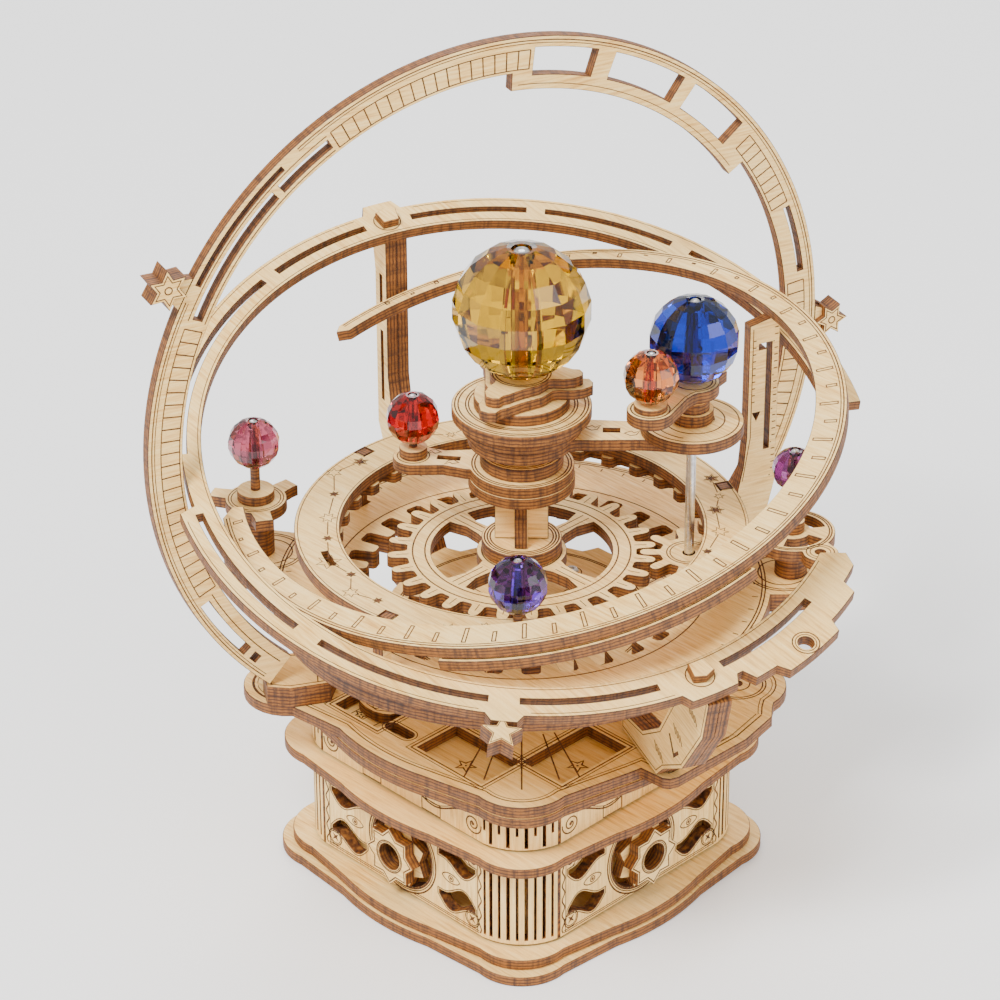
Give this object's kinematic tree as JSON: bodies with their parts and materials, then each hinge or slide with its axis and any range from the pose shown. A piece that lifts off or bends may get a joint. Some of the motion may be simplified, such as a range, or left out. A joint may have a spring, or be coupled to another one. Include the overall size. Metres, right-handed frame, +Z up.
{
  "type": "wooden mechanical orrery",
  "caption": "Wooden clockwork orrery: fluted square base with hidden spring movement, tilted sphere rings, gear stage and turning arms that carry coloured faceted beads.",
  "frame": {"origin": "centre of the underside of the lower base sheet, on the turning stack's axis", "axes": "+Z up along the turning stack's axis; the base's straight sides run along X and Y; the winding key is on the +Y side"},
  "size_m": [0.1706, 0.1854, 0.2151],
  "materials": {
    "birch_ply": "bare laser-cut plywood with scorched edges",
    "steel": "bright",
    "brass": "satin",
    "acrylic_yellow": "transparent faceted acrylic",
    "acrylic_blue": "transparent faceted acrylic",
    "acrylic_orange": "transparent faceted acrylic",
    "acrylic_red": "transparent faceted acrylic",
    "acrylic_pink": "transparent faceted acrylic",
    "acrylic_purple": "transparent faceted acrylic",
    "acrylic_violet": "transparent faceted acrylic"
  },
  "bodies": {
    "case": {"base_sheet_lower": "birch_ply", "base_sheet_upper": "birch_ply", "wall_front": "birch_ply", "wall_right": "birch_ply", "wall_back": "birch_ply", "wall_left": "birch_ply", "frieze_front": "birch_ply", "frieze_right": "birch_ply", "frieze_back": "birch_ply", "frieze_left": "birch_ply", "rosette_front": "birch_ply", "rosette_right": "birch_ply", "rosette_back": "birch_ply", "rosette_left": "birch_ply", "middle_sheet": "birch_ply", "deck_lower": "birch_ply", "deck_upper": "birch_ply", "movement_bedplate": "brass", "spring_barrel": "brass", "tone_comb": "steel", "meridian_ring": "birch_ply", "meridian_foot": "birch_ply", "slotted_ring": "birch_ply", "graduated_ring": "birch_ply", "graduated_arc": "birch_ply", "back_post": "birch_ply", "front_bracket": "birch_ply", "right_post": "birch_ply", "stage_plate": "birch_ply", "lower_gear_ring": "birch_ply", "upper_gear_ring": "birch_ply", "constellation_ring": "birch_ply", "ring_pillar_1": "birch_ply", "ring_pillar_2": "birch_ply", "ring_pillar_3": "birch_ply", "sun_gear": "birch_ply"},
    "rotor": {"drive_shaft": "birch_ply", "cross_column": "birch_ply", "inner_arm": "birch_ply", "red_seat": "birch_ply", "red_bead": "acrylic_red", "outer_arm": "birch_ply", "earth_disc": "birch_ply", "upper_column": "birch_ply", "sun_swirl": "birch_ply", "sun_bead": "acrylic_yellow"},
    "moon_group": {"moon_spindle": "steel", "moon_pinion": "birch_ply", "moon_arm": "birch_ply", "blue_bead": "acrylic_blue", "orange_bead": "acrylic_orange"},
    "pink_group": {"pink_carrier": "birch_ply", "pink_bead": "acrylic_pink"},
    "purple_group": {"purple_wheel": "birch_ply", "purple_bead": "acrylic_purple"},
    "violet_group": {"violet_bead": "acrylic_violet"},
    "key": {"winding_key": "birch_ply"},
    "cylinder": {"pin_cylinder": "brass"},
    "air_brake": {"governor": "steel"},
    "lever": {"start_lever": "birch_ply"}
  },
  "joints": [
    {"name": "rotor_turn", "type": "hinge", "parent": "case", "child": "rotor", "pos_m": [0, 0, 0.09], "axis": [0, 0, 1], "continuous": true},
    {"name": "moon_turn", "type": "hinge", "parent": "rotor", "child": "moon_group", "pos_m": [0.02977, 0.02776, 0.12], "axis": [0, 0, 1], "continuous": true},
    {"name": "pink_turn", "type": "hinge", "parent": "case", "child": "pink_group", "pos_m": [-0.05541, -0.03695, 0.09], "axis": [0, 0, 1], "continuous": true},
    {"name": "purple_turn", "type": "hinge", "parent": "case", "child": "purple_group", "pos_m": [0.04476, 0.0485, 0.09], "axis": [0, 0, 1], "continuous": true},
    {"name": "violet_turn", "type": "hinge", "parent": "case", "child": "violet_group", "pos_m": [0.03439, -0.03561, 0.1], "axis": [0, 0, 1], "continuous": true},
    {"name": "key_turn", "type": "hinge", "parent": "case", "child": "key", "pos_m": [0, 0.03, 0.0184], "axis": [0, 1, 0], "continuous": true},
    {"name": "cylinder_turn", "type": "hinge", "parent": "case", "child": "cylinder", "pos_m": [0, -0.0096, 0.0175], "axis": [1, 0, 0], "continuous": true},
    {"name": "air_brake_turn", "type": "hinge", "parent": "case", "child": "air_brake", "pos_m": [0.013, 0.004, 0.014], "axis": [0, 0, 1], "continuous": true},
    {"name": "lever_swing", "type": "hinge", "parent": "case", "child": "lever", "pos_m": [-0.0155, -0.0345, 0.05], "axis": [0, 0, 1], "range_deg": [0, 22]}
  ],
  "couplings": [
    {"joint": "moon_turn", "follows": "rotor_turn", "ratio": 3.1111},
    {"joint": "cylinder_turn", "follows": "rotor_turn", "ratio": 2},
    {"joint": "air_brake_turn", "follows": "rotor_turn", "ratio": 10}
  ]
}
